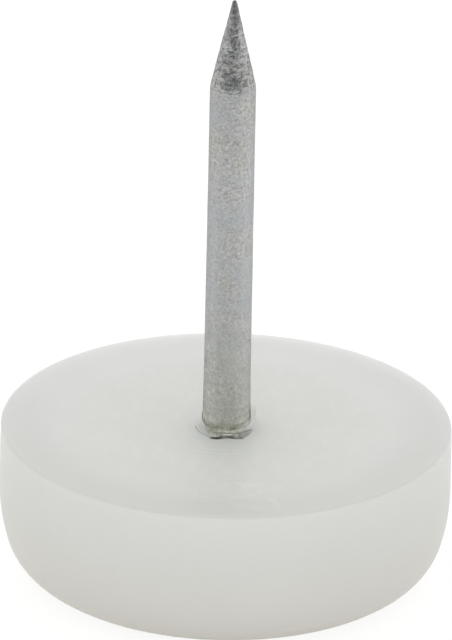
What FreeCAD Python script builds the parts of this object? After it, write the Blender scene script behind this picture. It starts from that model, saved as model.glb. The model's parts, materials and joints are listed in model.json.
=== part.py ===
import FreeCAD, Part
import math
import os

# Nail-on furniture glide: a round nylon pad moulded around the head of a galvanised wire nail.
# It stands on its glide face with the nail pointing up, as it is driven into a furniture leg.
# The origin is the centre of the glide face, on the floor, and +Z runs up the nail.
# Lengths are millimetres and angles are degrees.

# Pad: a flat seat for the leg, a wall that bulges a little, and a rounded edge at the floor
PAD_DIAMETER = 20.0
PAD_THICKNESS = 6.9
WALL_DRAFT = 0.5
SEAT_EDGE_RADIUS = 0.15
WALL_BULGE_RADIUS = 8.2
WALL_BULGE_TURN = 16.0
FLOOR_EDGE_RADIUS = 2.4

# Collar: the thin lip of nylon that climbs the nail where it leaves the seat
COLLAR_HEIGHT = 0.85
COLLAR_RIM_WALL = 0.07
COLLAR_LEAN = 5.0
COLLAR_FOOT_RADIUS = 0.18

# Nail: a round wire with a conical point, its head locked inside the pad
NAIL_PROJECTION = 20.25
SHANK_DIAMETER = 2.03
POINT_ANGLE = 26.0
TIP_RADIUS = 0.1
SHOULDER_RADIUS = 2.0
NECK_SWELL = 0.11
NECK_RISE = 3.0
HEAD_DIAMETER = 5.0
HEAD_RIM = 0.6
HEAD_CONE = 0.7
HEAD_COVER = 2.2

# Heights and radii that follow from these, and that both pieces share
SEAT_HEIGHT = PAD_THICKNESS
TIP_HEIGHT = SEAT_HEIGHT + NAIL_PROJECTION
COLLAR_RIM_HEIGHT = SEAT_HEIGHT + COLLAR_HEIGHT
HEAD_TOP_HEIGHT = HEAD_COVER + HEAD_RIM
NECK_BASE_HEIGHT = HEAD_TOP_HEIGHT + HEAD_CONE
NECK_TOP_HEIGHT = SEAT_HEIGHT + NECK_RISE
SHANK_RADIUS = SHANK_DIAMETER / 2
NECK_BASE_RADIUS = SHANK_RADIUS + NECK_SWELL / 2


def sin(degrees):
    return math.sin(math.radians(degrees))


def cos(degrees):
    return math.cos(math.radians(degrees))


def at(radius, height):
    """A point of a half section, which lies in the XZ plane."""
    return FreeCAD.Vector(radius, 0, height)


def on_arc(centre, radius, angle):
    return centre + at(radius * cos(angle), radius * sin(angle))


class HalfSection:
    """An outline of lines and arcs that starts and ends on the Z axis, and is turned about it."""

    def __init__(self, start):
        self.start = start
        self.end = start
        self.edges = []

    def line_to(self, point):
        self.edges.append(Part.LineSegment(self.end, point).toShape())
        self.end = point

    def arc(self, centre, radius, first_angle, last_angle):
        """Add an arc, and before it the line that leads to it, unless it starts where the outline ends."""
        first = on_arc(centre, radius, first_angle)
        middle = on_arc(centre, radius, (first_angle + last_angle) / 2)
        last = on_arc(centre, radius, last_angle)
        if not first.isEqual(self.end, Part.Precision.confusion()):
            self.line_to(first)
        self.edges.append(Part.Arc(first, middle, last).toShape())
        self.end = last

    def turned(self):
        self.line_to(self.start)
        face = Part.Face(Part.Wire(self.edges))
        return face.revolve(FreeCAD.Vector(0, 0, 0), FreeCAD.Vector(0, 0, 1), 360)


def neck_radius(height):
    """Radius of the nail between the head and the plain shank, where it tapers."""
    share = (NECK_TOP_HEIGHT - height) / (NECK_TOP_HEIGHT - NECK_BASE_HEIGHT)
    return SHANK_RADIUS + share * (NECK_BASE_RADIUS - SHANK_RADIUS)


def make_nail():
    head_radius = HEAD_DIAMETER / 2
    # the side of the point is a tangent of the tip's ball and of the rounded shoulder
    lean = POINT_ANGLE / 2
    tip_centre = at(0, TIP_HEIGHT - TIP_RADIUS)
    point_offset = tip_centre.z * sin(lean) + TIP_RADIUS
    shoulder_offset = SHANK_RADIUS * cos(lean) + SHOULDER_RADIUS * (1 - cos(lean))
    shoulder_height = (point_offset - shoulder_offset) / sin(lean)

    section = HalfSection(at(0, HEAD_COVER))
    section.line_to(at(head_radius, HEAD_COVER))
    section.line_to(at(head_radius, HEAD_TOP_HEIGHT))
    section.line_to(at(NECK_BASE_RADIUS, NECK_BASE_HEIGHT))
    section.line_to(at(SHANK_RADIUS, NECK_TOP_HEIGHT))
    section.arc(at(SHANK_RADIUS - SHOULDER_RADIUS, shoulder_height), SHOULDER_RADIUS, 0, lean)
    section.arc(tip_centre, TIP_RADIUS, lean, 90)
    return section.turned()


def make_glide_pad(nail):
    pad_radius = PAD_DIAMETER / 2
    turn = WALL_BULGE_TURN
    glide_face_radius = pad_radius - WALL_BULGE_RADIUS * (1 - cos(turn)) - FLOOR_EDGE_RADIUS * cos(turn)
    belly_height = FLOOR_EDGE_RADIUS * (1 - sin(turn)) + WALL_BULGE_RADIUS * sin(turn)
    belly_centre = at(pad_radius - WALL_BULGE_RADIUS, belly_height)

    # the drafted wall above the belly leaves the bulge smoothly and meets the seat in a small radius
    wall_offset = belly_centre.x * cos(WALL_DRAFT) + belly_height * sin(WALL_DRAFT) + WALL_BULGE_RADIUS
    seat_edge_height = SEAT_HEIGHT - SEAT_EDGE_RADIUS
    seat_radius = (wall_offset - SEAT_EDGE_RADIUS - seat_edge_height * sin(WALL_DRAFT)) / cos(WALL_DRAFT)

    # the collar leans on the nail, thins to its rim and runs out into the seat at its foot
    rim = at(neck_radius(COLLAR_RIM_HEIGHT) + COLLAR_RIM_WALL, COLLAR_RIM_HEIGHT)
    collar_offset = rim.x * cos(COLLAR_LEAN) + rim.z * sin(COLLAR_LEAN)
    foot_height = SEAT_HEIGHT + COLLAR_FOOT_RADIUS
    foot_radius = (collar_offset + COLLAR_FOOT_RADIUS - foot_height * sin(COLLAR_LEAN)) / cos(COLLAR_LEAN)

    section = HalfSection(at(0, 0))
    section.arc(at(glide_face_radius, FLOOR_EDGE_RADIUS), FLOOR_EDGE_RADIUS, -90, -turn)
    section.arc(belly_centre, WALL_BULGE_RADIUS, -turn, WALL_DRAFT)
    section.arc(at(seat_radius, seat_edge_height), SEAT_EDGE_RADIUS, WALL_DRAFT, 90)
    section.arc(at(foot_radius, foot_height), COLLAR_FOOT_RADIUS, 270, 180 + COLLAR_LEAN)
    section.line_to(rim)
    section.line_to(at(0, COLLAR_RIM_HEIGHT))
    # the nylon is moulded round the nail, so the nail itself shapes its socket
    return section.turned().cut(nail)


nail = make_nail()
glide_pad = make_glide_pad(nail)

os.makedirs("parts", exist_ok=True)
nail.exportStep("parts/nail.step")
glide_pad.exportStep("parts/glide_pad.step")
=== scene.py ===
import json
import math

import bmesh
import bpy
from mathutils import Matrix, Vector, noise


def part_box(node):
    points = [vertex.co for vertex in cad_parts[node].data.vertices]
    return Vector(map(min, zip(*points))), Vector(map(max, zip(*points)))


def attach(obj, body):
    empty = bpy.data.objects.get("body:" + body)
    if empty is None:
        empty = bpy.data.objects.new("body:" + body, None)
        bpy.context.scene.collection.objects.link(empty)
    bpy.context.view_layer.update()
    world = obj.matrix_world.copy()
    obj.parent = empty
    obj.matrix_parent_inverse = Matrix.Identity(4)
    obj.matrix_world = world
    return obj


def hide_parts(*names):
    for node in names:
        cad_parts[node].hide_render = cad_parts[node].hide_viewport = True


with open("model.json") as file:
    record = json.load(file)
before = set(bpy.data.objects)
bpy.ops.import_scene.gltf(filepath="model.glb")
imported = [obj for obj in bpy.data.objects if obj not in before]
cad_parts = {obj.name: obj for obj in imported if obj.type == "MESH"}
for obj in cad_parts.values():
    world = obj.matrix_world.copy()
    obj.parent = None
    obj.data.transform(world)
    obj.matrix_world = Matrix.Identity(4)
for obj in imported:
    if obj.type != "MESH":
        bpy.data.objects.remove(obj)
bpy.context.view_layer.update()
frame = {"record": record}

# Sizes read from the frame, in metres
MM = 0.001
mounts = {mount["name"]: mount for mount in frame["record"]["mounts"]}
_, pad_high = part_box("glide_pad")
nail_low, nail_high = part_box("nail")
PAD_RADIUS = pad_high.x
SEAT_HEIGHT = mounts["leg_seat"]["pos_m"][2]
RIM_HEIGHT = pad_high.z
TIP_HEIGHT = nail_high.z
HEAD_RADIUS = nail_high.x
HEAD_BASE = nail_low.z
SHANK_RADIUS = mounts["nail_shank"]["dims"]["r_mm"] * MM
SHANK_LENGTH = mounts["nail_shank"]["dims"]["length_mm"] * MM
SHANK_BASE = mounts["nail_shank"]["pos_m"][2] - SHANK_LENGTH / 2
SHOULDER_HEIGHT = SHANK_BASE + SHANK_LENGTH

# The pad's section, as in the solid
WALL_DRAFT = math.radians(0.5)
WALL_BULGE_RADIUS = 8.2 * MM
WALL_BULGE_TURN = math.radians(16)
FLOOR_EDGE_RADIUS = 2.4 * MM
SEAT_EDGE_RADIUS = 0.15 * MM
COLLAR_LEAN = math.radians(5)
COLLAR_RIM_WALL = 0.07 * MM
COLLAR_FOOT_RADIUS = 0.18 * MM

# The nail's section, as in the solid
NECK_BASE_RADIUS = SHANK_RADIUS + 0.055 * MM
HEAD_RIM = 0.6 * MM
HEAD_CONE = 0.7 * MM
POINT_LEAN = math.radians(13)
TIP_RADIUS = 0.1 * MM
SHOULDER_RADIUS = 2.0 * MM
NECK_BASE = HEAD_BASE + HEAD_RIM + HEAD_CONE
SOCKET_GAP = 0.004 * MM

# The collar as moulded: a thin film on the nail, a fuller bulge at its right and a torn flange in front
# Angles are degrees about the nail: 0 is to the right of the photograph and -90 its front
# A sector has a middle and a reach, and a run has a start, an end and the way over which it fades
FILM_SHARE = 0.35
FILM_START = 0.1 * MM
FILM_UNEVEN = 0.02 * MM
FILM_UNEVEN_LENGTH = 0.3 * MM
RIM_SHARE = 0.8
RIM_RIGHT_SECTOR = (0, 100)
RIM_RIGHT_RISE = 0.2
RIM_LEFT_SECTOR = (185, 80)
RIM_LEFT_DROP = 0.26
RIM_TORN = 0.07
RIM_TEARS = 2.2
BULGE_DEPTH = 0.36 * MM
BULGE_SECTOR = (30, 42)
BULGE_MILKY_SECTOR = (30, 50)

# The flange's section where it is fullest: share of the way inwards, radius and height above the seat in mm
FLANGE_START = 1.95 * MM
FLANGE_SECTION = [
    (0.00, 1.95, 0.00), (0.48, 1.63, 0.00), (0.54, 1.58, -0.03), (0.60, 1.53, 0.00), (0.66, 1.49, 0.08),
    (0.72, 1.43, 0.11), (0.80, 1.36, 0.09), (0.86, 1.30, 0.05), (0.92, 1.22, 0.07), (0.97, 1.14, 0.12),
]
FLANGE_ON_SEAT = 0.6
FLANGE_SECTOR = (-85, 64)

# The clear window in the film, through which the nail shows, and how far the film hides it elsewhere
WINDOW_MIDDLE = -97
WINDOW_CLIMB = 0.54 * MM
WINDOW_DROP = 0.06 * MM
WINDOW_RIGHT_RUN = (-60, 20, 18)
WINDOW_RIGHT_RISE = 0.38 * MM
WINDOW_FADE = (-0.03 * MM, 0.12 * MM)
WINDOW_EDGE_SECTOR = (-150, 32)
WINDOW_EDGE_DARK = 0.3
CLEAR_FILM = 0.05
FOOT_VEIL = 0.58
FOOT_VEIL_RISE = (0.10 * MM, 0.5 * MM)
MILKY_FILM = 0.75
MILKY_BACK_SECTOR = (180, 70)
MILKY_BACK = 0.2
SOLID_RISE = (0.10 * MM, 0.20 * MM)
SOLID_WALL = (0.10 * MM, 0.16 * MM)

# Dark lines about the torn lip, all painted shade in its crevices and folds: the run of each, its distance
# from the axis and how dark it is
LINE_SOFT = 0.03 * MM
LINE_RAGGED = 0.05 * MM
UNDER_LIP_RUN = (-112, -66, 6)
UNDER_LIP_DEPTH = (1.50 * MM, 1.60 * MM)
UNDER_LIP_LEFT_SECTOR = (-103, 20)
UNDER_LIP_LEFT_WIDER = 0.15 * MM
UNDER_LIP_RIGHT_SECTOR = (-74, 15)
UNDER_LIP_RIGHT_WIDER = 0.09 * MM
UNDER_LIP_DARK = 0.88
BEHIND_LIP_RUN = (-96, -34, 8)
BEHIND_LIP_RADIUS = (1.29 * MM, 1.33 * MM)
BEHIND_LIP_DARK = 0.68
RIGHT_FOOT_RUN = (-76, -34, 10)
RIGHT_FOOT_RADIUS = 1.70 * MM
RIGHT_FOOT_DRAWN_IN = 0.37 * MM
RIGHT_FOOT_DARK = 0.6
RIGHT_HOLLOW_RUN = (-66, -36, 8)
RIGHT_HOLLOW_DARK = 0.42
LEFT_FOOT_RUN = (-160, -118, 16)
LEFT_FOOT_SECTOR = (-100, 85)
LEFT_FOOT_RADIUS = 1.68 * MM
LEFT_FOOT_DRAWN_IN = 0.36 * MM
LEFT_FOOT_DARK = 0.43

# The lip's fold, kept milky there as a painted highlight, and where the olive of the nail shows through the
# foot
LIP_HIGHLIGHT_RUN = (-91, -83, 7)
LIP_HIGHLIGHT_RADIUS = (1.42 * MM, 1.47 * MM)
OLIVE_RADIUS = (1.54 * MM, 1.66 * MM)
OLIVE_RIGHT_RUN = (-78, -44, 12)
PALE_RIGHT_RUN = (-55, 130, 25)

# Seat: small waves, two fine lines in front of the collar, and a swirl that the flow of nylon left
SEAT_FINE_RADIUS = 3.6 * MM
SEAT_WAVE = 0.012 * MM
SEAT_WAVE_LENGTH = 2.5 * MM
WITNESS_SECTOR = (-92, 42)
WITNESS_RADIUS = 3.12 * MM
WITNESS_GAPS = (-0.22 * MM, 0.14 * MM)
WITNESS_WIDTH = 0.09 * MM
WITNESS_RISE = 0.008 * MM
WITNESS_BREAKS = 0.8 * MM
FLOW_SIZE = 0.8 * MM
SWIRL_PLACE = (0.7 * MM, -7.5 * MM, 0)
SWIRL_SIZE = 2.3 * MM
SWIRL_STROKE = 0.34 * MM
SWIRL_BEND = 1.2 * MM
SWIRL_ROUND = 2.2
SWIRL_CLUSTER = 0.7 * MM

# Nail: a zinc coat that is thicker near the pad, waves of the drawn wire and cutter marks on the point
COAT_SWELL = 0.03 * MM
COAT_TOP = 20.5 * MM
SHANK_WAVE = 0.006 * MM
SHANK_WAVE_LENGTH = 1.4 * MM
POINT_WAVE = 0.014 * MM
POINT_WAVE_WIDTH = 0.45 * MM
POINT_WAVE_LENGTH = 0.3 * MM
SCRATCH_HEIGHT = 24.93 * MM
SCRATCH_SLOPE_X = -0.03
SCRATCH_SLOPE_Y = 0.4
SCRATCH_WIDTH = (0.012 * MM, 0.035 * MM)

# Fineness of the turned meshes
PAD_STEPS = 384
NAIL_STEPS = 224
WEDGES = 16
MERGE_DISTANCE = 0.0001 * MM

# Colours of the nylon, and the shade at the seat's rim and the top of the wall
MILKY_COOL = (0.688, 0.699, 0.661, 1)
MILKY_WARM = (0.696, 0.702, 0.671, 1)
# painted shade at the front of the seat's rim and painted light at its back
SEAT_FRONT_SHADED_COLOUR = (0.671, 0.679, 0.647, 1)
SEAT_BACK_LIT_COLOUR = (0.713, 0.714, 0.718, 1)
WALL_COLOUR = (0.692, 0.701, 0.692, 1)
# painted warm light thrown back from the floor low on the wall, lighter still at its floor edge, where it
# also lifts the contact shadow
LOW_WALL_BOUNCE_COLOUR = (0.680, 0.676, 0.656, 1)
FLOOR_EDGE_BOUNCE_COLOUR = (0.765, 0.738, 0.680, 1)
FILM_COLOUR = (0.694, 0.701, 0.668, 1)
OLIVE_VEIL = (0.45, 0.455, 0.33, 1)
OLIVE_FOOT = (0.46, 0.465, 0.385)
# painted shade in the crevices and lines about the torn lip
CREVICE_SHADE_COLOUR = (0.03, 0.031, 0.026, 1)
RIM_SHADE = 0.9
WALL_TOP_SHADE = 0.975
NYLON_ROUGHNESS = (0.40, 0.46)
NYLON_IOR = 1.53
NYLON_BUMP = 0.0003 * MM
FILM_BUMP = 0.012 * MM
FOLD_SIZE = 0.3 * MM

# Colours of the zinc, and how far its grain and the marks on the point change its tone
ZINC_COOL = (0.469, 0.488, 0.510, 1)
ZINC_WARM = (0.503, 0.500, 0.481, 1)
# painted light: the shank lighter and warmer low down, near the pad
ZINC_LIT_LOW = (0.606, 0.608, 0.570, 1)
# painted light on the nail under the collar's film, making up for the film's shade
ZINC_LIT_IN_COLLAR = (0.82, 0.818, 0.76, 1)
ZINC_PIT = (0.17, 0.17, 0.165, 1)
ZINC_EDGE_TINT = (0.72, 0.72, 0.72, 1)
ZINC_ROUGHNESS = (0.33, 0.45)
GRAIN_DARK = (0.65, 0.84)
GRAIN_LIGHT = (1.32, 1.14)
RING_SIZE = 0.36 * MM
RING_TONES = (0.70, 1.37)
RING_DEPTH = 2.2
PIT_SIZE = 0.15 * MM
TIP_SHADE = 0.52
ZINC_BUMP = 0.011 * MM

# Studio floor: pale paper; in reflections it is dark towards the front and a little shaded at the left
FLOOR_RADIUS = 3.0
FLOOR_DROP = 0.02 * MM
FLOOR_COLOUR = (0.86, 0.845, 0.79, 1)
FLOOR_GLOW = 1.1
FLOOR_GLOW_SHARE = 0.8
FLOOR_FRONT = (-0.25, -0.09)
FLOOR_LEFT = (-0.035, -0.005)
LEFT_SHADE = 0.11
FRONT_DARK = 0.03

# Surroundings: soft light, stronger from behind; reflections see a dark front and a lighter right
SOFT_LIGHT = 1.02
BACK_LIGHT = 1.6
BACK_WIDTH = (0.1, 0.8)
FRONT_WIDTH = (0.3, 0.65)
FRONT_HEIGHT = (0.4, 0.8)
RIGHT_SLOPE = 0.25

# Lamps
LAMP_SIZE = 0.4
FRONT_LAMP_PLACE = (0, -0.5, 0.1)
FRONT_LAMP_WATTS = 0.45
BACK_LAMP_PLACE = (0, 0.5, 0.02)
BACK_LAMP_WATTS = 1.2

# The photograph's camera, found from the pad's outline
FRAME_HEIGHT_PIXELS = 640
PIXELS_PER_METRE = 22592
CAMERA_ELEVATION = math.radians(23.782)
CAMERA_ROLL = math.radians(1.152)
CAMERA_DISTANCE = 0.6
CAMERA_LEFT = 0.104 * MM
CAMERA_RAISE = 4.567 * MM
CAMERA_NEAREST = 0.01
CAMERA_FARTHEST = 10


# Smooth steps


def ease(value, low, high):
    """A smooth step from 0 to 1 between two limits."""
    share = min(max((value - low) / (high - low), 0.0), 1.0)
    return share * share * (3 - 2 * share)


def band(value, low, high, soft):
    """1 between two limits, falling to 0 over a short way outside them."""
    return ease(value, low - soft, low) * (1 - ease(value, high, high + soft))


def sector(angle, middle, reach):
    """1 in the middle of a sector about the nail, falling smoothly to 0 at its sides."""
    away = abs((angle - middle + 180) % 360 - 180)
    return 1 - ease(away, 0, reach)


# Radius of the nail low down


def zinc_coat(height):
    """Extra radius of the zinc, which ran thicker towards the pad as the nail was dipped."""
    thinner_upwards = 1 - ease(height, SEAT_HEIGHT - 2 * MM, COAT_TOP)
    return COAT_SWELL * thinner_upwards * ease(height, NECK_BASE, SEAT_HEIGHT)


def neck_radius(height):
    """Radius of the nail between its head and the plain shank."""
    share = (SHANK_BASE - height) / (SHANK_BASE - NECK_BASE)
    return SHANK_RADIUS + share * (NECK_BASE_RADIUS - SHANK_RADIUS)


def coated_radius(height):
    """Radius of the nail low down, with its zinc."""
    return neck_radius(height) + zinc_coat(height)


# Turned meshes


def start_outline(bm, radius, height):
    return bmesh.ops.create_vert(bm, co=(radius, 0, height))["vert"][0]


def line_to(bm, vertex, radius, height, rings=1):
    """Draw a straight stretch of an outline, cut into that many rings, and return its end."""
    start = vertex.co.copy()
    end = Vector((radius, 0, height))
    for ring in range(rings):
        vertex = bmesh.ops.extrude_vert_indiv(bm, verts=[vertex])["verts"][0]
        vertex.co = start.lerp(end, (ring + 1) / rings)
    return vertex


def arc_to(bm, vertex, centre, turn, rings):
    """Draw a round stretch of an outline about a centre, anticlockwise in the section; return its end."""
    made = bmesh.ops.spin(
        bm, geom=[vertex], cent=(centre[0], 0, centre[1]), axis=(0, -1, 0), angle=turn, steps=rings
    )
    return made["geom_last"][0]


def turn_outline(bm, steps):
    """Turn the outline about the Z axis, one wedge first and then copies of it, into a closed skin."""
    turned = {"cent": (0, 0, 0), "axis": (0, 0, 1)}
    wedge = 2 * math.pi / WEDGES
    bmesh.ops.spin(bm, geom=bm.verts[:] + bm.edges[:], angle=wedge, steps=steps // WEDGES, **turned)
    skin = bm.verts[:] + bm.edges[:] + bm.faces[:]
    bmesh.ops.spin(bm, geom=skin, angle=2 * math.pi - wedge, steps=WEDGES - 1, use_duplicate=True, **turned)
    bmesh.ops.remove_doubles(bm, verts=bm.verts[:], dist=MERGE_DISTANCE)
    bmesh.ops.recalc_face_normals(bm, faces=bm.faces[:])
    for face in bm.faces:
        face.smooth = True


def finish_piece(bm, name, node, materials):
    mesh = bpy.data.meshes.new(name)
    bm.to_mesh(mesh)
    bm.free()
    for material in materials:
        mesh.materials.append(material)
    piece = bpy.data.objects.new(name, mesh)
    bpy.context.scene.collection.objects.link(piece)
    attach(piece, "root")
    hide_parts(node)


def polar(vertex):
    """Distance of a vertex from the nail's axis, and its angle about it in degrees."""
    angle = math.atan2(vertex.co.y, vertex.co.x)
    return math.hypot(vertex.co.x, vertex.co.y), math.degrees(angle)


# Nylon pad


def outline_pad(bm):
    """Draw the pad's half section and return the centre of the round at the collar's foot."""
    turn = WALL_BULGE_TURN
    bulge_inset = WALL_BULGE_RADIUS * (1 - math.cos(turn))
    glide_radius = PAD_RADIUS - bulge_inset - FLOOR_EDGE_RADIUS * math.cos(turn)
    belly_height = FLOOR_EDGE_RADIUS * (1 - math.sin(turn)) + WALL_BULGE_RADIUS * math.sin(turn)
    belly_centre = (PAD_RADIUS - WALL_BULGE_RADIUS, belly_height)
    drafted = Vector((math.cos(WALL_DRAFT), math.sin(WALL_DRAFT)))
    wall_offset = belly_centre[0] * drafted.x + belly_height * drafted.y + WALL_BULGE_RADIUS
    seat_edge_height = SEAT_HEIGHT - SEAT_EDGE_RADIUS
    seat_edge = (wall_offset - SEAT_EDGE_RADIUS - seat_edge_height * drafted.y) / drafted.x
    seat_edge_centre = (seat_edge, seat_edge_height)
    wall_top = Vector(seat_edge_centre) + SEAT_EDGE_RADIUS * drafted

    rim_radius = coated_radius(RIM_HEIGHT) + COLLAR_RIM_WALL
    collar_offset = rim_radius * math.cos(COLLAR_LEAN) + RIM_HEIGHT * math.sin(COLLAR_LEAN)
    foot_height = SEAT_HEIGHT + COLLAR_FOOT_RADIUS
    foot = collar_offset + COLLAR_FOOT_RADIUS - foot_height * math.sin(COLLAR_LEAN)
    foot_centre = (foot / math.cos(COLLAR_LEAN), foot_height)

    edge = start_outline(bm, 0, 0)
    edge = line_to(bm, edge, glide_radius, 0, rings=14)
    edge = arc_to(bm, edge, (glide_radius, FLOOR_EDGE_RADIUS), math.pi / 2 - turn, rings=26)
    edge = arc_to(bm, edge, belly_centre, turn + WALL_DRAFT, rings=16)
    edge = line_to(bm, edge, wall_top.x, wall_top.y, rings=22)
    edge = arc_to(bm, edge, seat_edge_centre, math.pi / 2 - WALL_DRAFT, rings=6)
    edge = line_to(bm, edge, SEAT_FINE_RADIUS, SEAT_HEIGHT, rings=44)
    edge = line_to(bm, edge, FLANGE_START, SEAT_HEIGHT, rings=20)
    edge = line_to(bm, edge, foot_centre[0], SEAT_HEIGHT, rings=26)
    edge = arc_to(bm, edge, foot_centre, COLLAR_LEAN - math.pi / 2, rings=20)
    edge = line_to(bm, edge, rim_radius, RIM_HEIGHT, rings=22)
    edge = line_to(bm, edge, coated_radius(RIM_HEIGHT) + SOCKET_GAP, RIM_HEIGHT, rings=3)
    edge = line_to(bm, edge, coated_radius(SEAT_HEIGHT) + SOCKET_GAP, SEAT_HEIGHT, rings=10)
    socket_rings = 8
    for ring in range(1, socket_rings + 1):
        height = SEAT_HEIGHT + (NECK_BASE - SEAT_HEIGHT) * ring / socket_rings
        edge = line_to(bm, edge, coated_radius(height) + SOCKET_GAP, height)
    edge = line_to(bm, edge, HEAD_RADIUS + SOCKET_GAP, NECK_BASE - HEAD_CONE)
    edge = line_to(bm, edge, HEAD_RADIUS + SOCKET_GAP, HEAD_BASE - SOCKET_GAP)
    line_to(bm, edge, 0, HEAD_BASE - SOCKET_GAP)
    return foot_centre


def collar_rim_share(angle):
    """How high the rim stands round the nail, as a share of its full height."""
    turn = math.radians(angle)
    torn = noise.noise(Vector((RIM_TEARS * math.cos(turn), RIM_TEARS * math.sin(turn), 4.0)))
    higher = RIM_RIGHT_RISE * sector(angle, *RIM_RIGHT_SECTOR)
    lower = RIM_LEFT_DROP * sector(angle, *RIM_LEFT_SECTOR)
    return min(RIM_SHARE + higher - lower + RIM_TORN * torn, 1.0)


def bulge_share(angle):
    """1 at the right of the nail, where the collar stands off in a fuller bulge."""
    return sector(angle, *BULGE_SECTOR)


def bulge_solidity(angle):
    """How milky the collar is where it leaves the nail for the bulge."""
    return ease(sector(angle, *BULGE_MILKY_SECTOR), 0.0, 0.12)


def film_place(vertex, foot_rise):
    """Radius and rise of a place on the collar's outside, where its film is thinned, bulged and uneven."""
    radius, angle = polar(vertex)
    rise = vertex.co.z - SEAT_HEIGHT
    wall = radius - coated_radius(vertex.co.z)
    share_up = max(rise, 0) / (RIM_HEIGHT - SEAT_HEIGHT)
    outer = min(wall / COLLAR_RIM_WALL, 1.0) if rise > foot_rise else 1.0
    fullness = BULGE_DEPTH * bulge_share(angle) * share_up ** 0.4 * (1 - share_up ** 8)
    uneven = FILM_UNEVEN * noise.noise(vertex.co / FILM_UNEVEN_LENGTH) * min(share_up * 6, 1.0)
    thinned = (1 - FILM_SHARE) * (1 - bulge_share(angle)) * ease(rise, 0.05 * MM, foot_rise)
    new_radius = radius - thinned * wall + outer * (fullness + uneven * (1 - thinned))
    return Vector((new_radius, rise * collar_rim_share(angle)))


def flange_share(radius, height, foot_centre):
    """How far along the flange's section a place of the collar's foot lies, from the seat to the nail."""
    foot_radius, foot_height = foot_centre
    if height - SEAT_HEIGHT < MERGE_DISTANCE:
        return FLANGE_ON_SEAT * (FLANGE_START - radius) / (FLANGE_START - foot_radius)
    turned = math.atan2(foot_radius - radius, foot_height - height)
    return FLANGE_ON_SEAT + (1 - FLANGE_ON_SEAT) * turned / (math.pi / 2 - COLLAR_LEAN)


def flange_place(share):
    """The flange where it is fullest, as radius and rise; nothing past the end of its section."""
    for first, second in zip(FLANGE_SECTION, FLANGE_SECTION[1:]):
        if share <= second[0]:
            part = (share - first[0]) / (second[0] - first[0])
            return Vector(first[1:]).lerp(Vector(second[1:]), part) * MM
    return None


def window_height(angle):
    """How high above the seat the milky foot of the collar reaches; above it the film is clear."""
    away = math.radians(angle - WINDOW_MIDDLE)
    climb = WINDOW_CLIMB * (1 - math.cos(away)) ** 1.2
    return max(climb, WINDOW_RIGHT_RISE * band(angle, *WINDOW_RIGHT_RUN)) - WINDOW_DROP


def window_share(angle, rise):
    """1 where the film is clear, 0 where it is milky."""
    return ease(rise - window_height(angle), *WINDOW_FADE)


def film_solidity(angle, radius, rise):
    """How far the collar hides the nail: hardly at the front, wholly at its foot and in the bulge."""
    veil = CLEAR_FILM + FOOT_VEIL * (1 - ease(rise, *FOOT_VEIL_RISE))
    milky = MILKY_FILM + MILKY_BACK * sector(angle, *MILKY_BACK_SECTOR)
    film = milky + window_share(angle, rise) * (veil - milky)
    low = 1 - ease(rise, *SOLID_RISE)
    thick = ease(radius - coated_radius(SEAT_HEIGHT + rise), *SOLID_WALL)
    return max(film, low, thick, bulge_solidity(angle))


def right_foot(angle):
    """Radius at which the lip's foot ends at the right of the front."""
    return RIGHT_FOOT_RADIUS - RIGHT_FOOT_DRAWN_IN * ease(angle, -68, -30)


def left_foot(angle):
    """Radius at which the lip's foot ends at the left of the front."""
    return LEFT_FOOT_RADIUS - LEFT_FOOT_DRAWN_IN * (1 - sector(angle, *LEFT_FOOT_SECTOR))


def painted_lip_shade_lines(angle, radius, rise):
    """How dark the painted shade is in the crevices about the torn lip, the lines round its foot and the
    edge of the window.
    """
    ragged = LINE_RAGGED * noise.noise(Vector((angle / 6, 2.0, 0.0)))
    broken = 0.9 + 0.35 * noise.noise(Vector((angle / 11, 5.0, 0.0)))

    # painted shade in the crevice under the lip runs straight across the front, wider at its two ends
    depth = radius * math.sin(math.radians(-angle))
    near, far = UNDER_LIP_DEPTH
    far += UNDER_LIP_LEFT_WIDER * sector(angle, *UNDER_LIP_LEFT_SECTOR)
    far += UNDER_LIP_RIGHT_WIDER * sector(angle, *UNDER_LIP_RIGHT_SECTOR)
    under = band(depth, near + 0.5 * ragged, far + 0.6 * ragged, 0.04 * MM)
    under *= band(angle, *UNDER_LIP_RUN) * (1 - 0.2 * ease(angle, -100, -84))

    # painted shade behind the lip and to its right
    behind = band(radius + ragged, *BEHIND_LIP_RADIUS, LINE_SOFT) * band(angle, *BEHIND_LIP_RUN)
    foot = right_foot(angle) + 0.4 * ragged
    beside = band(radius, foot, foot + 0.03 * MM, LINE_SOFT) * band(angle, *RIGHT_FOOT_RUN)
    hollow = band(radius, BEHIND_LIP_RADIUS[1], foot, LINE_SOFT) * band(angle, *RIGHT_HOLLOW_RUN)

    # painted shade in two fine lines round the foot at the left, and at the window's edge above them
    foot = left_foot(angle)
    outer_line = band(radius, foot, foot + 0.04 * MM, 0.04 * MM)
    inner_line = 0.7 * band(radius + ragged, foot - 0.16 * MM, foot - 0.13 * MM, LINE_SOFT)
    outline = max(outer_line, inner_line) * band(angle, *LEFT_FOOT_RUN)
    edge = band(rise - window_height(angle), -0.01 * MM, 0.01 * MM, 0.02 * MM)
    edge *= sector(angle, *WINDOW_EDGE_SECTOR)

    # all of these lines are painted shade
    torn = max(UNDER_LIP_DARK * under, BEHIND_LIP_DARK * behind)
    torn = max(torn, RIGHT_FOOT_DARK * beside, RIGHT_HOLLOW_DARK * hollow)
    return max(broken * torn, WINDOW_EDGE_DARK * edge, LEFT_FOOT_DARK * outline)


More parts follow.
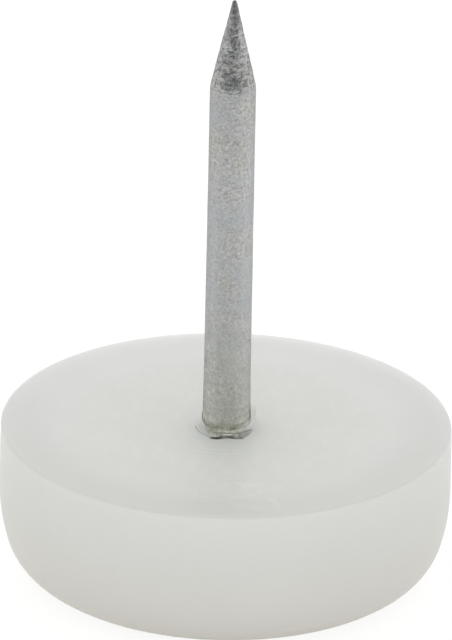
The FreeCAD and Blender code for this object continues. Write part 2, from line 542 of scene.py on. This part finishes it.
def olive_share(angle, radius, rise):
    """How far the nail tints the collar's foot olive, apart from the lip's fold, kept milky as a painted
    highlight.
    """
    front = window_share(angle, rise) * (1 - ease(radius, *OLIVE_RADIUS))
    front *= 1 - 0.9 * band(angle, *PALE_RIGHT_RUN)
    right = band(angle, *OLIVE_RIGHT_RUN) * (1 - ease(radius - right_foot(angle), -0.05 * MM, 0.0))
    right *= 1 - 0.5 * ease(angle, -80, -45)
    # the lip's fold stays milky: a painted highlight
    painted_highlight = band(radius, *LIP_HIGHLIGHT_RADIUS, LINE_SOFT) * band(angle, *LIP_HIGHLIGHT_RUN)
    return max(front, right) * (1 - painted_highlight) * (1 - bulge_solidity(angle))


def shape_collar(bm, foot_centre):
    """Give the turned collar its film and torn lip, and keep how solid and olive each place is and how dark
    its painted crevice shade is.
    """
    solid = bm.verts.layers.float.new("solid")
    olive = bm.verts.layers.float.new("olive")
    crevice = bm.verts.layers.float.new("crevice")
    foot_radius, foot_height = foot_centre
    foot_rise = foot_height - SEAT_HEIGHT
    for vertex in bm.verts:
        radius, angle = polar(vertex)
        rise = vertex.co.z - SEAT_HEIGHT
        if radius > FLANGE_START or rise < -MERGE_DISTANCE or radius < SHANK_RADIUS:
            continue
        wall = radius - coated_radius(vertex.co.z)
        if wall < 1.5 * SOCKET_GAP:
            # the socket follows the nail, and only its rim is lowered with the film
            vertex[solid] = max(1 - ease(rise, -MERGE_DISTANCE, 0.02 * MM), bulge_solidity(angle))
            vertex.co.z = SEAT_HEIGHT + rise * collar_rim_share(angle)
            continue
        place = film_place(vertex, foot_rise)
        if wall > COLLAR_RIM_WALL and radius >= foot_radius - COLLAR_FOOT_RADIUS and rise <= foot_rise:
            flange = flange_place(flange_share(radius, vertex.co.z, foot_centre))
            if flange is not None:
                place = place.lerp(flange, sector(angle, *FLANGE_SECTOR) ** 0.7)
        vertex[solid] = film_solidity(angle, place.x, place.y)
        vertex[olive] = olive_share(angle, place.x, place.y)
        # painted shade in the crevices and lines about the lip
        vertex[crevice] = painted_lip_shade_lines(angle, place.x, place.y)
        vertex.co.x *= place.x / radius
        vertex.co.y *= place.x / radius
        vertex.co.z = SEAT_HEIGHT + place.y


def shape_seat(bm):
    """Raise the seat's small waves and the fine lines in front of the collar, and keep where these are."""
    witness = bm.verts.layers.float.new("witness")
    for vertex in bm.verts:
        radius, angle = polar(vertex)
        if abs(vertex.co.z - SEAT_HEIGHT) > MERGE_DISTANCE or radius < FLANGE_START:
            continue
        inside = ease(radius, FLANGE_START, 2 * FLANGE_START)
        inside *= 1 - ease(radius, 0.9 * PAD_RADIUS, 0.975 * PAD_RADIUS)
        places = [WITNESS_RADIUS + gap for gap in WITNESS_GAPS]
        lines = sum(band(radius, place, place, WITNESS_WIDTH) for place in places)
        lines *= sector(angle, *WITNESS_SECTOR) * (0.7 + 0.6 * noise.noise(vertex.co / WITNESS_BREAKS))
        wave = SEAT_WAVE * noise.noise(vertex.co / SEAT_WAVE_LENGTH)
        vertex[witness] = min(1.2 * lines, 1.0)
        vertex.co.z += inside * wave + WITNESS_RISE * lines


def make_pad(nylon, film):
    bm = bmesh.new()
    foot_centre = outline_pad(bm)
    turn_outline(bm, PAD_STEPS)
    shape_seat(bm)
    shape_collar(bm, foot_centre)
    for face in bm.faces:
        if face.calc_center_median().z > SEAT_HEIGHT + FILM_START:
            face.material_index = 1
    finish_piece(bm, "nylon_pad", "glide_pad", [nylon, film])


# Wire nail


def outline_nail(bm):
    tip_centre = (0, TIP_HEIGHT - TIP_RADIUS)
    shoulder_centre = (SHANK_RADIUS - SHOULDER_RADIUS, SHOULDER_HEIGHT)
    side = Vector((math.cos(POINT_LEAN), math.sin(POINT_LEAN)))
    point_top = Vector(tip_centre) + TIP_RADIUS * side

    edge = start_outline(bm, 0, HEAD_BASE)
    edge = line_to(bm, edge, HEAD_RADIUS, HEAD_BASE)
    edge = line_to(bm, edge, HEAD_RADIUS, HEAD_BASE + HEAD_RIM)
    edge = line_to(bm, edge, NECK_BASE_RADIUS, NECK_BASE)
    edge = line_to(bm, edge, neck_radius(SEAT_HEIGHT), SEAT_HEIGHT, rings=8)
    edge = line_to(bm, edge, SHANK_RADIUS, SHANK_BASE, rings=34)
    edge = line_to(bm, edge, SHANK_RADIUS, SHOULDER_HEIGHT, rings=140)
    edge = arc_to(bm, edge, shoulder_centre, POINT_LEAN, rings=16)
    edge = line_to(bm, edge, point_top.x, point_top.y, rings=76)
    arc_to(bm, edge, tip_centre, math.pi / 2 - POINT_LEAN, rings=5)


def shape_nail(bm):
    """Give the nail its zinc coat, the waves of drawn wire above the collar, and the cutter's marks."""
    for vertex in bm.verts:
        radius, _ = polar(vertex)
        height = vertex.co.z
        if height < NECK_BASE + MERGE_DISTANCE or radius < TIP_RADIUS:
            continue
        bare = ease(height, RIM_HEIGHT, RIM_HEIGHT + 1.0 * MM)
        place = Vector((vertex.co.x, vertex.co.y, 0)) / POINT_WAVE_WIDTH
        place.z = height / POINT_WAVE_LENGTH
        point = ease(height, SHOULDER_HEIGHT, SHOULDER_HEIGHT + 0.6 * MM) * ease(radius, 0, 0.4 * MM)
        shift = zinc_coat(height) + bare * SHANK_WAVE * noise.noise(vertex.co / SHANK_WAVE_LENGTH)
        shift += point * POINT_WAVE * noise.noise(place)
        vertex.co.x *= 1 + shift / radius
        vertex.co.y *= 1 + shift / radius


def make_nail(zinc):
    bm = bmesh.new()
    outline_nail(bm)
    turn_outline(bm, NAIL_STEPS)
    shape_nail(bm)
    finish_piece(bm, "wire_nail", "nail", [zinc])


# Nodes


def add_node(tree, kind, **settings):
    node = tree.nodes.new("ShaderNode" + kind)
    for name, value in settings.items():
        setattr(node, name, value)
    return node


def feed(tree, socket, value):
    """Link a socket to another node's output, or set its plain value."""
    if isinstance(value, bpy.types.NodeSocket):
        tree.links.new(value, socket)
    else:
        socket.default_value = value


def math_node(tree, operation, *values):
    node = add_node(tree, "Math", operation=operation)
    for socket, value in zip(node.inputs, values):
        feed(tree, socket, value)
    return node.outputs["Value"]


def multiply(tree, first, second):
    return math_node(tree, "MULTIPLY", first, second)


def larger(tree, first, second):
    return math_node(tree, "MAXIMUM", first, second)


def span(tree, value, low, high, to_low=0.0, to_high=1.0, kind="LINEAR"):
    """Map a value between two limits to another pair, without leaving it."""
    node = add_node(tree, "MapRange", interpolation_type=kind)
    numbers = {"Value": value, "From Min": low, "From Max": high, "To Min": to_low, "To Max": to_high}
    for name, number in numbers.items():
        feed(tree, node.inputs[name], number)
    return node.outputs["Result"]


def fade(tree, value, low, high, to_low=0.0, to_high=1.0):
    return span(tree, value, low, high, to_low, to_high, "SMOOTHSTEP")


def shaded(tree, tone, mask, low, high):
    """Multiply a tone by a factor that runs from one number to another where a mask runs from 0 to 1."""
    return multiply(tree, tone, span(tree, mask, 0, 1, low, high))


def mix_colour(tree, share, first, second):
    """Mix two colours; the node has several sockets of one name, and these are the ones for colours."""
    node = add_node(tree, "Mix", data_type="RGBA")
    feed(tree, node.inputs[0], share)
    feed(tree, node.inputs[6], first)
    feed(tree, node.inputs[7], second)
    return node.outputs[2]


def vector_node(tree, operation, *values):
    node = add_node(tree, "VectorMath", operation=operation)
    for socket, value in zip(node.inputs, values):
        feed(tree, socket, value)
    return node.outputs["Vector"]


def scaled(tree, vector, value):
    """A vector or colour times a number."""
    node = add_node(tree, "VectorMath", operation="SCALE")
    feed(tree, node.inputs[0], vector)
    feed(tree, node.inputs["Scale"], value)
    return node.outputs["Vector"]


def level_part(tree, vector):
    """A vector without its height, and the length of what is left."""
    level = vector_node(tree, "MULTIPLY", vector, (1, 1, 0))
    node = add_node(tree, "VectorMath", operation="LENGTH")
    feed(tree, node.inputs[0], level)
    return level, node.outputs["Value"]


def split(tree, vector):
    node = add_node(tree, "SeparateXYZ")
    feed(tree, node.inputs["Vector"], vector)
    return node.outputs


def attribute(tree, name):
    return add_node(tree, "Attribute", attribute_name=name).outputs["Fac"]


def noise_value(tree, place, cells_per_metre, detail, roughness, stretch=None):
    if stretch:
        mapping = add_node(tree, "Mapping")
        feed(tree, mapping.inputs["Vector"], place)
        mapping.inputs["Scale"].default_value = stretch
        place = mapping.outputs["Vector"]
    node = add_node(tree, "TexNoise")
    feed(tree, node.inputs["Vector"], place)
    feed(tree, node.inputs["Scale"], cells_per_metre)
    node.inputs["Detail"].default_value = detail
    node.inputs["Roughness"].default_value = roughness
    return node.outputs["Fac"]


def mottle_group():
    """Uneven tone: broad patches, a field for tint, fine grain and scattered specks, each from 0 to 1."""
    tree = bpy.data.node_groups.new("mottle", "ShaderNodeTree")
    tree.interface.new_socket("Place", in_out="INPUT", socket_type="NodeSocketVector")
    for name in ("Patch Cells", "Tint Cells", "Grain Cells", "Speck Cells"):
        tree.interface.new_socket(name, in_out="INPUT", socket_type="NodeSocketFloat")
    for name in ("Patches", "Tint", "Grain", "Specks"):
        tree.interface.new_socket(name, in_out="OUTPUT", socket_type="NodeSocketFloat")
    inner = tree.nodes.new("NodeGroupInput").outputs
    outer = tree.nodes.new("NodeGroupOutput").inputs
    patches = noise_value(tree, inner["Place"], inner["Patch Cells"], 3.0, 0.55)
    tint = noise_value(tree, inner["Place"], inner["Tint Cells"], 2.0, 0.5)
    grain = noise_value(tree, inner["Place"], inner["Grain Cells"], 3.0, 0.65)
    blots = noise_value(tree, inner["Place"], inner["Speck Cells"], 1.0, 0.5)
    feed(tree, outer["Patches"], span(tree, patches, 0.3, 0.7))
    feed(tree, outer["Tint"], span(tree, tint, 0.3, 0.7))
    feed(tree, outer["Grain"], span(tree, grain, 0.28, 0.72))
    feed(tree, outer["Specks"], fade(tree, blots, 0.65, 0.74))
    return tree


def place_mottle(tree, group, place, patch, tint, grain, speck):
    """Put the mottle in a material, with the sizes of its features in metres."""
    node = add_node(tree, "Group", node_tree=group)
    feed(tree, node.inputs["Place"], place)
    sizes = {"Patch Cells": patch, "Tint Cells": tint, "Grain Cells": grain, "Speck Cells": speck}
    for name, size in sizes.items():
        node.inputs[name].default_value = 1 / size
    return node.outputs


def raise_surface(tree, shader, height, depth):
    bump = add_node(tree, "Bump")
    bump.inputs["Distance"].default_value = depth
    feed(tree, bump.inputs["Height"], height)
    feed(tree, shader.inputs["Normal"], bump.outputs["Normal"])


# Materials


def new_material(name):
    material = bpy.data.materials.new(name)
    material.use_nodes = True
    tree = material.node_tree
    tree.nodes.clear()
    shader = add_node(tree, "BsdfPrincipled")
    feed(tree, add_node(tree, "OutputMaterial").inputs["Surface"], shader.outputs["BSDF"])
    place = add_node(tree, "TexCoord").outputs["Object"]
    return material, tree, shader, place


# painted shade in the crevices about the lip
def painted_crevice_shade_mask(tree):
    return fade(tree, attribute(tree, "crevice"), 0.05, 0.95)


def collar_colour(tree, place, colour, grain, dark):
    """Olive and folded where the nail shows through the collar's foot, and darkened with painted shade in
    the crevices.
    """
    folds = noise_value(tree, place, 1 / FOLD_SIZE, 2.0, 0.5, (1, 1, 1.6))
    folds = math_node(tree, "ABSOLUTE", math_node(tree, "SUBTRACT", folds, 0.5))
    tone = shaded(tree, fade(tree, folds, 0.0, 0.05, 0.6, 1.08), grain, 0.6, 1.4)
    colour = mix_colour(tree, attribute(tree, "olive"), colour, scaled(tree, OLIVE_FOOT, tone))
    return mix_colour(tree, dark, colour, CREVICE_SHADE_COLOUR)


def flow_strokes(tree, place):
    """Light strokes curved round the place where the flow of nylon swirled."""
    bends = add_node(tree, "TexNoise")
    feed(tree, bends.inputs["Vector"], place)
    bends.inputs["Scale"].default_value = 1 / SWIRL_BEND
    bends.inputs["Detail"].default_value = 0.0
    bent = vector_node(tree, "SUBTRACT", bends.outputs["Color"], (0.5, 0.5, 0.5))
    bent = scaled(tree, bent, 1.3 * SWIRL_BEND)
    away = vector_node(tree, "ADD", vector_node(tree, "SUBTRACT", place, SWIRL_PLACE), bent)
    away, reach = level_part(tree, away)
    outwards = add_node(tree, "CombineXYZ")
    feed(tree, outwards.inputs["Z"], math_node(tree, "DIVIDE", reach, SWIRL_STROKE))
    around = scaled(tree, vector_node(tree, "NORMALIZE", away), SWIRL_ROUND)
    swirled = vector_node(tree, "ADD", around, outwards.outputs["Vector"])
    strokes = fade(tree, noise_value(tree, swirled, 1.0, 1.0, 0.5), 0.38, 0.72)
    clusters = fade(tree, noise_value(tree, place, 1 / SWIRL_CLUSTER, 1.0, 0.5), 0.36, 0.64)
    near = fade(tree, reach, 0.5 * SWIRL_SIZE, 1.2 * SWIRL_SIZE, 1.0, 0.0)
    return multiply(tree, multiply(tree, strokes, clusters), near)


def nylon_colour(tree, tint, axes, radius, on_seat):
    """Clouds in the middle of the seat, then the colour of its rim or the wall, and warmer low down; the
    rim has painted shade in front and painted light behind, and the low wall painted bounce light from the
    floor.
    """
    milky = mix_colour(tree, tint, MILKY_COOL, MILKY_WARM)
    backwards = span(tree, axes["Y"], -0.8 * PAD_RADIUS, 0.8 * PAD_RADIUS)
    # painted shade at the rim's front and painted light at its back
    lit_and_shaded_seat_rim = mix_colour(tree, backwards, SEAT_FRONT_SHADED_COLOUR, SEAT_BACK_LIT_COLOUR)
    outside = mix_colour(tree, on_seat, WALL_COLOUR, lit_and_shaded_seat_rim)
    colour = mix_colour(tree, fade(tree, radius, 0.45 * PAD_RADIUS, 0.9 * PAD_RADIUS), milky, outside)
    # painted warm bounce light from the floor, low on the wall and at its floor edge
    low_wall_bounce = fade(tree, axes["Z"], 1.5 * MM, 5.5 * MM, 1.0, 0.0)
    colour = mix_colour(tree, low_wall_bounce, colour, LOW_WALL_BOUNCE_COLOUR)
    lowest = fade(tree, axes["Z"], 0.0, 1.6 * MM, 1.0, 0.0)
    floor_edge_bounce = multiply(tree, lowest, fade(tree, radius, 0.74 * PAD_RADIUS, 0.85 * PAD_RADIUS))
    return mix_colour(tree, floor_edge_bounce, colour, FLOOR_EDGE_BOUNCE_COLOUR)


def nylon_tone(tree, field, place, height, radius, on_seat):
    """Faint patches and grain, less light at the rim, and light marks that the flow left on the seat."""
    tone = shaded(tree, span(tree, field["Patches"], 0, 1, 0.99, 1.01), field["Grain"], 0.994, 1.006)
    rim = multiply(tree, fade(tree, radius, 0.7 * PAD_RADIUS, 0.985 * PAD_RADIUS), on_seat)
    tone = shaded(tree, tone, rim, 1.0, RIM_SHADE)
    high = fade(tree, height, SEAT_HEIGHT - 1.3 * MM, SEAT_HEIGHT - SEAT_EDGE_RADIUS)
    tone = shaded(tree, tone, math_node(tree, "SUBTRACT", high, on_seat), 1.0, WALL_TOP_SHADE)
    flow = fade(tree, noise_value(tree, place, 1 / FLOW_SIZE, 5.0, 0.7, (1.6, 0.8, 1)), 0.4, 0.75)
    inner = multiply(tree, fade(tree, radius, 0.5 * PAD_RADIUS, 0.85 * PAD_RADIUS, 1.0, 0.0), on_seat)
    tone = shaded(tree, tone, multiply(tree, flow, inner), 0.99, 1.03)
    strokes = multiply(tree, flow_strokes(tree, place), on_seat)
    return shaded(tree, tone, larger(tree, attribute(tree, "witness"), strokes), 1.0, 1.09)


def natural_nylon(mottle):
    """Milky nylon that lets a little light through, with the torn lip's olive places and painted shade in
    its crevices.
    """
    material, tree, shader, place = new_material("natural_nylon")
    field = place_mottle(tree, mottle, place, 3.5 * MM, 6.0 * MM, 0.25 * MM, 0.8 * MM)
    axes = split(tree, place)
    _, radius = level_part(tree, place)
    on_seat = fade(tree, axes["Z"], SEAT_HEIGHT - SEAT_EDGE_RADIUS, SEAT_HEIGHT - 0.03 * MM)
    colour = nylon_colour(tree, field["Tint"], axes, radius, on_seat)
    tone = nylon_tone(tree, field, place, axes["Z"], radius, on_seat)
    colour = collar_colour(tree, place, scaled(tree, colour, tone), field["Grain"], painted_crevice_shade_mask(tree))
    feed(tree, shader.inputs["Base Color"], colour)
    feed(tree, shader.inputs["Roughness"], span(tree, field["Patches"], 0, 1, *NYLON_ROUGHNESS))
    raise_surface(tree, shader, field["Grain"], NYLON_BUMP)
    shader.inputs["IOR"].default_value = NYLON_IOR
    shader.inputs["Subsurface Weight"].default_value = 0.4
    shader.inputs["Subsurface Radius"].default_value = (1.0, 0.95, 0.8)
    shader.inputs["Subsurface Scale"].default_value = 5.0 * MM
    return material


def film_nylon(mottle):
    """The same nylon where it is thin on the nail: see-through, with an olive veil towards its foot."""
    material, tree, shader, place = new_material("film_nylon")
    field = place_mottle(tree, mottle, place, 0.3 * MM, 0.7 * MM, 0.25 * MM, 0.5 * MM)
    solid = attribute(tree, "solid")
    # painted crevice shade, which also makes the film opaque there
    dark = painted_crevice_shade_mask(tree)
    veil = mix_colour(tree, attribute(tree, "olive"), FILM_COLOUR, OLIVE_VEIL)
    colour = mix_colour(tree, solid, veil, FILM_COLOUR)
    colour = collar_colour(tree, place, colour, field["Grain"], dark)
    feed(tree, shader.inputs["Base Color"], colour)
    cover = math_node(tree, "MINIMUM", shaded(tree, solid, field["Patches"], 0.85, 1.3), 1.0)
    feed(tree, shader.inputs["Alpha"], larger(tree, cover, dark))
    feed(tree, shader.inputs["Roughness"], span(tree, field["Patches"], 0, 1, *NYLON_ROUGHNESS))
    raise_surface(tree, shader, field["Patches"], FILM_BUMP)
    shader.inputs["IOR"].default_value = NYLON_IOR
    return material


def scratch_mask(tree, axes, grain):
    """One bright scratch that runs across the point."""
    level = math_node(tree, "ADD", axes["Z"], multiply(tree, axes["Y"], SCRATCH_SLOPE_Y))
    level = math_node(tree, "ADD", level, multiply(tree, axes["X"], SCRATCH_SLOPE_X))
    away = math_node(tree, "ABSOLUTE", math_node(tree, "SUBTRACT", level, SCRATCH_HEIGHT))
    return multiply(tree, fade(tree, away, *SCRATCH_WIDTH, 1.0, 0.0), grain)


def zinc_tone(tree, field, axes, point, rings):
    """Patches and grain, calmer in cool patches and near the pad, and the marks on the point and foot."""
    dragged = fade(tree, axes["Z"], SEAT_HEIGHT + 1.2 * MM, SEAT_HEIGHT + 2.8 * MM, 1.0, 0.0)
    calm = larger(tree, dragged, span(tree, field["Tint"], 0.2, 0.8, 1, 0))
    grain_dark = span(tree, calm, 0, 1, *GRAIN_DARK)
    grain_light = span(tree, calm, 0, 1, *GRAIN_LIGHT)
    tone = span(tree, field["Patches"], 0, 1, 0.90, 1.08)
    tone = shaded(tree, tone, field["Grain"], grain_dark, grain_light)
    marked = larger(tree, point, multiply(tree, dragged, 0.5))
    tone = shaded(tree, tone, marked, 1.0, span(tree, rings, 0, 1, *RING_TONES))
    tip = fade(tree, axes["Z"], TIP_HEIGHT - 1.6 * MM, TIP_HEIGHT)
    tone = shaded(tree, tone, tip, 1.0, TIP_SHADE)
    return shaded(tree, tone, scratch_mask(tree, axes, field["Grain"]), 1.0, 1.6)


def galvanised_zinc(mottle):
    """Dull zinc: cool and warm patches, mottled grain, dark specks, and a darker and rougher point; painted
    light low on the shank and under the collar's film.
    """
    material, tree, shader, place = new_material("galvanised_zinc")
    field = place_mottle(tree, mottle, place, 0.5 * MM, 1.3 * MM, 0.13 * MM, 0.085 * MM)
    axes = split(tree, place)
    height = axes["Z"]
    point = fade(tree, height, SHOULDER_HEIGHT, SHOULDER_HEIGHT + 0.5 * MM)
    rings = span(tree, noise_value(tree, place, 1 / RING_SIZE, 4.0, 0.65, (1, 1, 1.7)), 0.3, 0.7)
    # painted light, lighter and warmer low on the shank
    low = fade(tree, height, SEAT_HEIGHT, SEAT_HEIGHT + 7 * MM, 1.0, 0.0)
    # painted light under the collar's film, making up for its shade
    lit_in_collar = fade(tree, height, SEAT_HEIGHT + 0.2 * MM, SEAT_HEIGHT + 0.9 * MM, 1.0, 0.0)
    colour = mix_colour(tree, field["Tint"], ZINC_COOL, ZINC_WARM)
    colour = mix_colour(tree, low, colour, ZINC_LIT_LOW)
    colour = mix_colour(tree, lit_in_collar, colour, ZINC_LIT_IN_COLLAR)
    colour = scaled(tree, colour, zinc_tone(tree, field, axes, point, rings))

    # dark specks all over, and pits on the point and fainter below its shoulder
    pits = fade(tree, noise_value(tree, place, 1 / PIT_SIZE, 3.0, 0.6), 0.47, 0.64)
    worn = fade(tree, height, SHOULDER_HEIGHT - 3.5 * MM, SHOULDER_HEIGHT - 0.5 * MM, 0.0, 0.17)
    pitted = multiply(tree, pits, larger(tree, worn, multiply(tree, point, 0.78)))
    dark = larger(tree, multiply(tree, field["Specks"], 0.5), pitted)
    feed(tree, shader.inputs["Base Color"], mix_colour(tree, dark, colour, ZINC_PIT))

    feed(tree, shader.inputs["Roughness"], span(tree, field["Patches"], 0, 1, *ZINC_ROUGHNESS))
    cut = multiply(tree, multiply(tree, rings, point), RING_DEPTH)
    raise_surface(tree, shader, math_node(tree, "ADD", field["Grain"], cut), ZINC_BUMP)
    shader.inputs["Metallic"].default_value = 1.0
    shader.inputs["Specular Tint"].default_value = ZINC_EDGE_TINT
    return material


# Studio


def light_paths(tree):
    """Two masks: 1 for what shows in reflections, and 1 for that and for what the camera sees directly."""
    path = add_node(tree, "LightPath")
    mirrored = larger(tree, path.outputs["Is Glossy Ray"], path.outputs["Is Transmission Ray"])
    return mirrored, larger(tree, path.outputs["Is Camera Ray"], mirrored)


def floor_material():
    """White to the camera and in reflections, but for the shade there, and a plain paper for the light."""
    material = bpy.data.materials.new("studio_floor")
    material.use_nodes = True
    tree = material.node_tree
    tree.nodes.clear()
    mirrored, seen = light_paths(tree)
    axes = split(tree, add_node(tree, "TexCoord").outputs["Object"])
    in_front = fade(tree, axes["Y"], *FLOOR_FRONT, 1.0, 0.0)
    at_left = fade(tree, axes["X"], *FLOOR_LEFT, LEFT_SHADE, 0.0)
    shade = multiply(tree, larger(tree, in_front, at_left), mirrored)
    white = add_node(tree, "Emission")
    feed(tree, white.inputs["Strength"], span(tree, shade, 0, 1, FLOOR_GLOW, FRONT_DARK))
    paper = add_node(tree, "BsdfDiffuse")
    paper.inputs["Color"].default_value = FLOOR_COLOUR
    mix = add_node(tree, "MixShader")
    feed(tree, mix.inputs["Fac"], multiply(tree, seen, FLOOR_GLOW_SHARE))
    feed(tree, mix.inputs[1], paper.outputs["BSDF"])
    feed(tree, mix.inputs[2], white.outputs["Emission"])
    feed(tree, add_node(tree, "OutputMaterial").inputs["Surface"], mix.outputs["Shader"])
    return material


def white_floor():
    """A plain white floor that keeps the glide's shadow."""
    bm = bmesh.new()
    bmesh.ops.create_circle(bm, cap_ends=True, segments=64, radius=FLOOR_RADIUS)
    bmesh.ops.translate(bm, verts=bm.verts[:], vec=(0, 0, -FLOOR_DROP))
    mesh = bpy.data.meshes.new("floor")
    bm.to_mesh(mesh)
    bm.free()
    mesh.materials.append(floor_material())
    floor = bpy.data.objects.new("floor", mesh)
    bpy.context.scene.collection.objects.link(floor)


def studio_world():
    """Soft light all round; the camera sees white, and reflections see white with a dark front."""
    world = bpy.data.worlds.new("studio")
    world.use_nodes = True
    tree = world.node_tree
    tree.nodes.clear()
    mirrored, seen = light_paths(tree)
    axes = split(tree, add_node(tree, "TexCoord").outputs["Generated"])
    ahead = fade(tree, multiply(tree, axes["Y"], -1.0), *FRONT_WIDTH)
    opening = multiply(tree, ahead, fade(tree, axes["Z"], *FRONT_HEIGHT, 1.0, 0.0))
    dark = multiply(tree, multiply(tree, opening, mirrored), 1.0 - FRONT_DARK)
    slope = multiply(tree, span(tree, axes["X"], 0, 1, 0, RIGHT_SLOPE), mirrored)
    white = math_node(tree, "ADD", math_node(tree, "SUBTRACT", 1.0, dark), slope)
    strength = add_node(tree, "Mix", data_type="FLOAT")
    feed(tree, strength.inputs["Factor"], seen)
    feed(tree, strength.inputs["A"], fade(tree, axes["Y"], *BACK_WIDTH, SOFT_LIGHT, BACK_LIGHT))
    feed(tree, strength.inputs["B"], white)
    sky = add_node(tree, "Background")
    feed(tree, sky.inputs["Strength"], strength.outputs["Result"])
    feed(tree, add_node(tree, "OutputWorld").inputs["Surface"], sky.outputs["Background"])
    bpy.context.scene.world = world


def soft_lamp(name, place, watts):
    """A round lamp that faces the seat and doesn't show in reflections."""
    data = bpy.data.lights.new(name, "AREA")
    data.shape = "DISK"
    data.size = LAMP_SIZE
    data.energy = watts
    lamp = bpy.data.objects.new(name, data)
    place = Vector(place)
    turned = (Vector((0, 0, SEAT_HEIGHT)) - place).to_track_quat("-Z", "Y").to_matrix().to_4x4()
    lamp.matrix_world = Matrix.Translation(place) @ turned
    lamp.visible_glossy = False
    bpy.context.scene.collection.objects.link(lamp)


def photograph_camera():
    right = Vector((1, 0, 0))
    up = Vector((0, math.sin(CAMERA_ELEVATION), math.cos(CAMERA_ELEVATION)))
    back = right.cross(up)
    place = Vector((0, 0, SEAT_HEIGHT)) + back * CAMERA_DISTANCE - right * CAMERA_LEFT + up * CAMERA_RAISE
    turned_right = right * math.cos(CAMERA_ROLL) + up * math.sin(CAMERA_ROLL)
    turned_up = up * math.cos(CAMERA_ROLL) - right * math.sin(CAMERA_ROLL)
    data = bpy.data.cameras.new("camera")
    data.lens = data.sensor_width * PIXELS_PER_METRE * CAMERA_DISTANCE / FRAME_HEIGHT_PIXELS
    data.clip_start = CAMERA_NEAREST
    data.clip_end = CAMERA_FARTHEST
    camera = bpy.data.objects.new("camera", data)
    turned = Matrix((turned_right, turned_up, back)).transposed()
    camera.matrix_world = Matrix.Translation(place) @ turned.to_4x4()
    bpy.context.scene.collection.objects.link(camera)
    bpy.context.scene.camera = camera


def main():
    bpy.context.scene.view_settings.view_transform = "Standard"
    mottle = mottle_group()
    make_pad(natural_nylon(mottle), film_nylon(mottle))
    make_nail(galvanised_zinc(mottle))
    white_floor()
    studio_world()
    soft_lamp("front_fill", FRONT_LAMP_PLACE, FRONT_LAMP_WATTS)
    soft_lamp("back_light", BACK_LAMP_PLACE, BACK_LAMP_WATTS)
    photograph_camera()


main()
